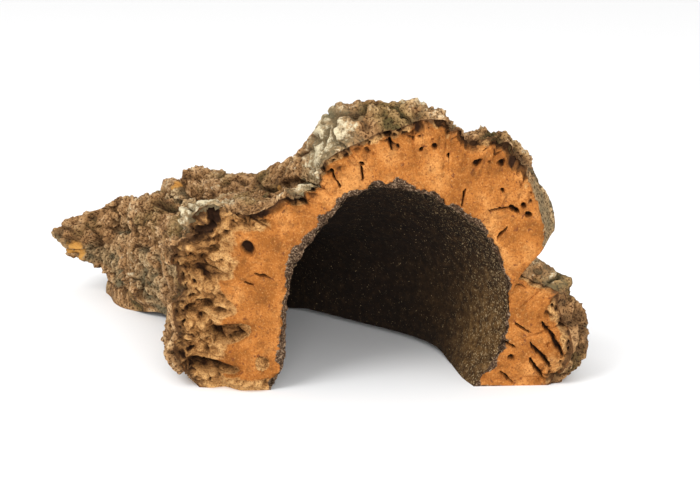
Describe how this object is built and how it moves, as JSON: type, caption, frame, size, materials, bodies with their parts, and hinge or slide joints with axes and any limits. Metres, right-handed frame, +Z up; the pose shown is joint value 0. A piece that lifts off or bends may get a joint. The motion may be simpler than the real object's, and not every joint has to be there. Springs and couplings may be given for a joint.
{
  "type": "cork bark tube",
  "caption": "Curved, tapering shell of natural cork bark with a wide sawn mouth, open below along its length, standing on its two long rims.",
  "frame": {"origin": "on the floor under the middle of the bark's outline seen from above", "axes": "+X to the right along the sawn mouth, +Y from the mouth towards the far end, +Z up from the floor"},
  "size_m": [0.3004, 0.2286, 0.146],
  "materials": {
    "cork_bark": "rough natural cork bark, matt"
  },
  "bodies": {
    "root": {"cork_bark": "cork_bark"}
  },
  "joints": []
}
